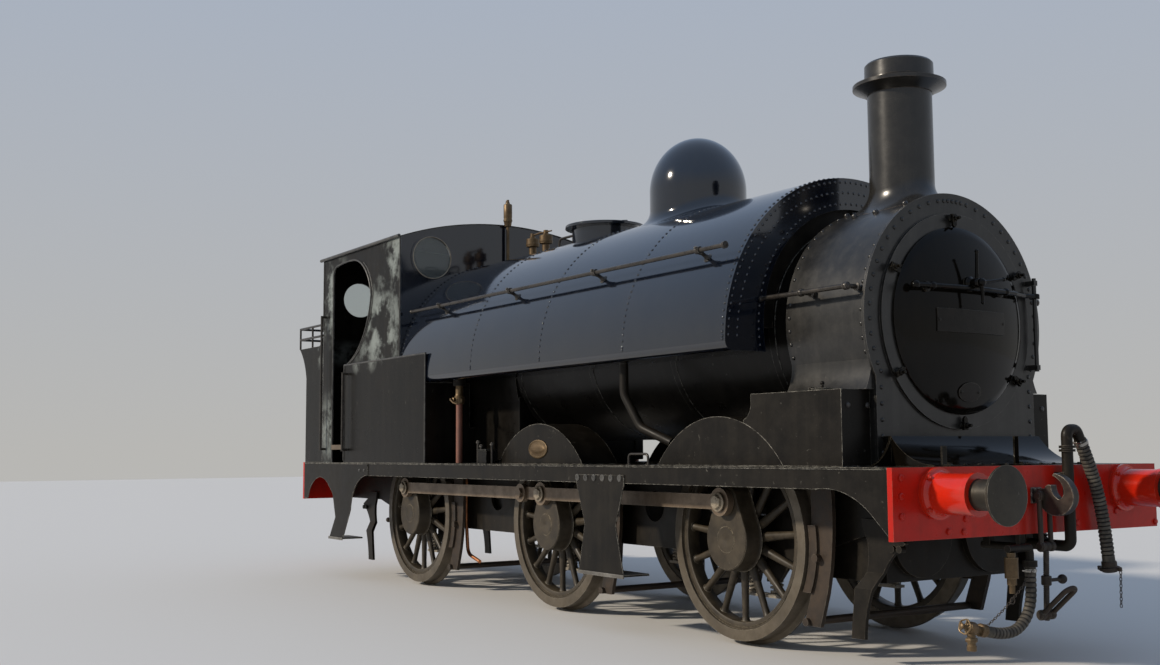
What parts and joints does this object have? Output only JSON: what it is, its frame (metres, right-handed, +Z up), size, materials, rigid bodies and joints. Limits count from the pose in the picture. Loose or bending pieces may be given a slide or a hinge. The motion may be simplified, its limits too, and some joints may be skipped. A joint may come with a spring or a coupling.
{
  "type": "steam locomotive",
  "caption": "Black six-coupled saddle tank steam locomotive with inside cylinders, round-windowed cab, railed bunker, turning wheels and opening smokebox door and lids.",
  "frame": {"origin": "middle of the length and width over the buffers, at the foot of the wheel flanges", "axes": "+X to the chimney end, +Y to the left, +Z up; the rail tops lie at Z 0.0286"},
  "size_m": [9.837, 2.584, 3.9564],
  "materials": {
    "tank_black": "gloss black paint with a little dust",
    "smokebox_black": "satin black heat-proof paint, dusty",
    "cab_black": "worn black paint with pale scuffs",
    "plate_black": "dirty black paint, brown with rust and oil",
    "frame_black": "oily black paint",
    "wheel_grey": "dusty dark paint over cast steel",
    "beam_red": "faded red paint",
    "housing_red": "bright red paint",
    "steel": "bare worn steel, oily",
    "rod_steel": "bare steel with brown oil",
    "iron": "rusty dark iron",
    "brass": "dull brass",
    "glass": "clear flat glass",
    "floor_wood": "worn floor boards",
    "hose": "dusty ribbed rubber"
  },
  "bodies": {
    "engine": {"main_frames": "frame_black", "frame_stretchers": "frame_black", "axleboxes": "iron", "springs": "iron", "cylinder_block": "iron", "running_plate": "plate_black", "front_beam": "beam_red", "rear_beam": "beam_red", "buffer_housings": "housing_red", "buffers": "steel", "drawhooks": "iron", "brake_gear": "iron", "guard_irons": "iron", "side_steps": "plate_black", "splashers": "plate_black", "sandboxes": "plate_black", "boiler": "frame_black", "firebox": "frame_black", "smokebox": "smokebox_black", "chimney": "smokebox_black", "saddle_tank": "tank_black", "tank_brackets": "frame_black", "dome": "tank_black", "filler": "tank_black", "safety_valves": "brass", "whistle": "brass", "cab_roof": "cab_black", "cab_side_right": "cab_black", "cab_side_left": "cab_black", "side_box_right": "cab_black", "side_box_left": "cab_black", "cab_front": "cab_black", "cab_rear": "cab_black", "window_glass": "glass", "cab_floor": "floor_wood", "bunker": "cab_black", "coal_rails": "cab_black", "handrails": "steel", "cab_handrails": "steel", "tank_pipes": "iron", "front_apron": "plate_black", "vacuum_pipe": "iron", "vacuum_hose": "hose", "hose_coupling": "iron", "heating_hose": "hose", "heating_cock": "brass"},
    "front_axle": {"wheelset_front": "wheel_grey", "tyres_front": "steel"},
    "middle_axle": {"wheelset_middle": "wheel_grey", "tyres_middle": "steel"},
    "rear_axle": {"wheelset_rear": "wheel_grey", "tyres_rear": "steel"},
    "right_rods": {"right_front_rod": "rod_steel", "right_rear_rod": "rod_steel"},
    "left_rods": {"left_front_rod": "rod_steel", "left_rear_rod": "rod_steel"},
    "door": {"smokebox_door": "smokebox_black"},
    "filler_cover": {"filler_lid": "tank_black"},
    "right_sand_cover": {"right_sandbox_lid": "plate_black"},
    "left_sand_cover": {"left_sandbox_lid": "plate_black"}
  },
  "joints": [
    {"name": "middle_axle_turn", "type": "hinge", "parent": "engine", "child": "middle_axle", "pos_m": [0.2645, 0, 0.7146], "axis": [0, 1, 0], "continuous": true},
    {"name": "front_axle_turn", "type": "hinge", "parent": "engine", "child": "front_axle", "pos_m": [2.5995, 0, 0.7146], "axis": [0, 1, 0], "continuous": true},
    {"name": "rear_axle_turn", "type": "hinge", "parent": "engine", "child": "rear_axle", "pos_m": [-2.3315, 0, 0.7146], "axis": [0, 1, 0], "continuous": true},
    {"name": "right_rod_turn", "type": "hinge", "parent": "middle_axle", "child": "right_rods", "pos_m": [0.2645, -0.938, 0.9703], "axis": [0, 1, 0], "continuous": true},
    {"name": "left_rod_turn", "type": "hinge", "parent": "middle_axle", "child": "left_rods", "pos_m": [0.0088, 0.938, 0.7146], "axis": [0, 1, 0], "continuous": true},
    {"name": "smokebox_door_hinge", "type": "hinge", "parent": "engine", "child": "door", "pos_m": [3.926, 0.716, 2.1436], "axis": [0, 0, 1], "range_deg": [0, 110]},
    {"name": "filler_lid_hinge", "type": "hinge", "parent": "engine", "child": "filler_cover", "pos_m": [-0.536, 0, 3.3326], "axis": [0, -1, 0], "range_deg": [0, 100]},
    {"name": "right_sandbox_lid_hinge", "type": "hinge", "parent": "engine", "child": "right_sand_cover", "pos_m": [3.462, -0.893, 1.7016], "axis": [0, -1, 0], "range_deg": [0, 95]},
    {"name": "left_sandbox_lid_hinge", "type": "hinge", "parent": "engine", "child": "left_sand_cover", "pos_m": [3.462, 0.893, 1.7016], "axis": [0, -1, 0], "range_deg": [0, 95]}
  ],
  "couplings": [
    {"joint": "front_axle_turn", "follows": "middle_axle_turn", "ratio": 1},
    {"joint": "rear_axle_turn", "follows": "middle_axle_turn", "ratio": 1},
    {"joint": "right_rod_turn", "follows": "middle_axle_turn", "ratio": -1},
    {"joint": "left_rod_turn", "follows": "middle_axle_turn", "ratio": -1}
  ]
}
